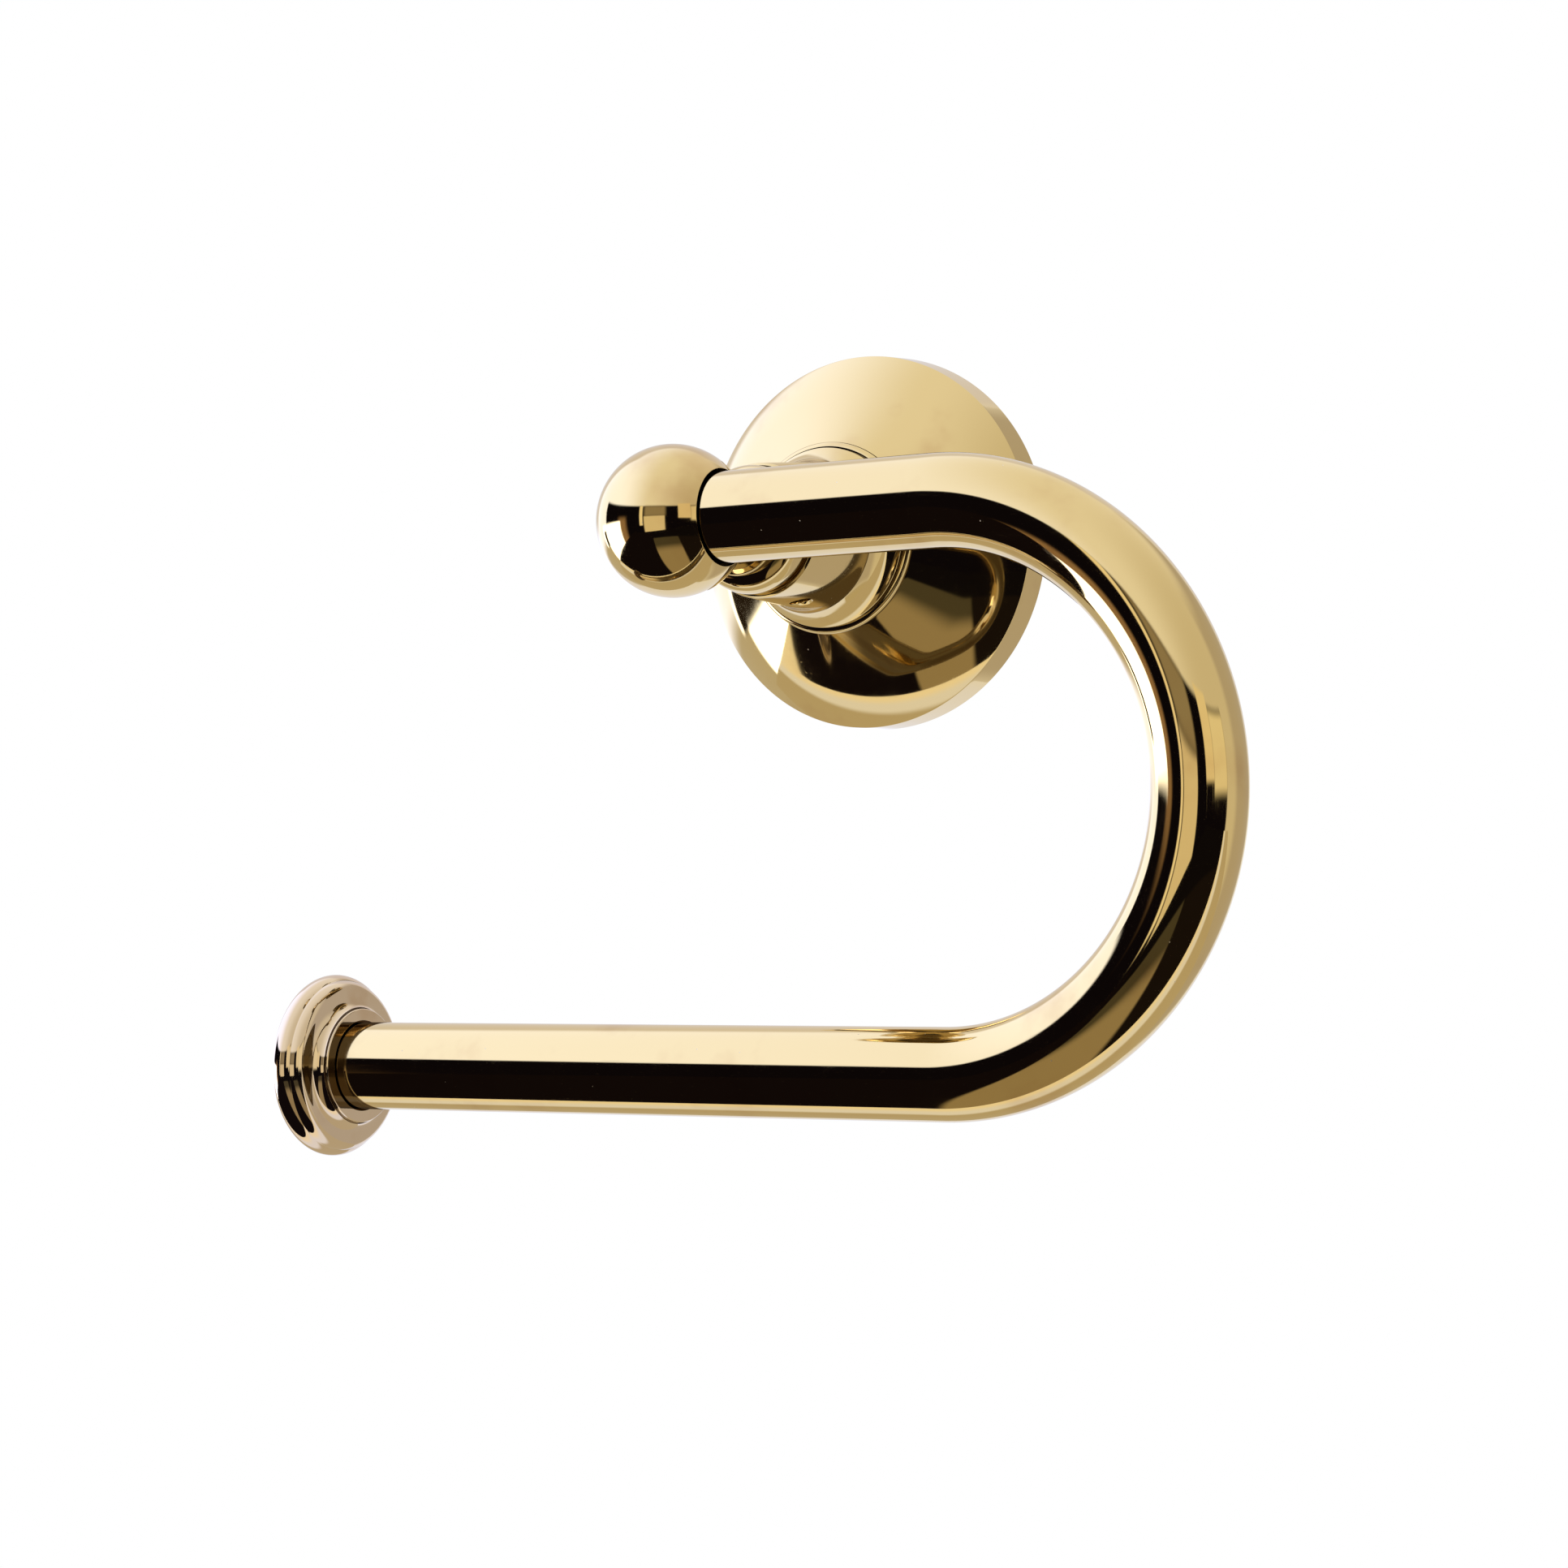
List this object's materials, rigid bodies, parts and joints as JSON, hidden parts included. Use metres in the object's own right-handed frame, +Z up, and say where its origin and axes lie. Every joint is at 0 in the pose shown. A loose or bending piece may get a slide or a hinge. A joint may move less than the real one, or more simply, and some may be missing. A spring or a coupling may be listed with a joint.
{
  "type": "toilet paper holder",
  "caption": "Wall-mounted open-ended toilet paper holder: domed rose, bell-shaped post, ball joint piece and a C-shaped tube arm with a turned end stop, in polished brass.",
  "frame": {"origin": "centre of the wall plate's face that lies on the wall, on the post's axis", "axes": "+Z up, +Y into the wall, +X along the upper bar from the ball to the bend"},
  "size_m": [0.1921, 0.0887, 0.1483],
  "materials": {
    "turned_brass": "mirror polished",
    "drawn_tube": "mirror polished",
    "bare_brass": "as turned",
    "zinc_plate": "bright zinc",
    "steel_screws": "stainless"
  },
  "bodies": {
    "root": {"wall_plate": "zinc_plate", "spigot": "bare_brass", "spigot_screws": "steel_screws", "rose": "turned_brass", "base_ring": "turned_brass", "rose_nut": "bare_brass", "bell_collar": "turned_brass", "grub_screw": "steel_screws", "neck": "turned_brass", "tie_screw": "steel_screws", "ball": "turned_brass", "arm_tube": "drawn_tube", "arm_insert": "bare_brass", "stop_insert": "bare_brass", "stop_stud": "steel_screws", "end_stop": "turned_brass"}
  },
  "joints": []
}
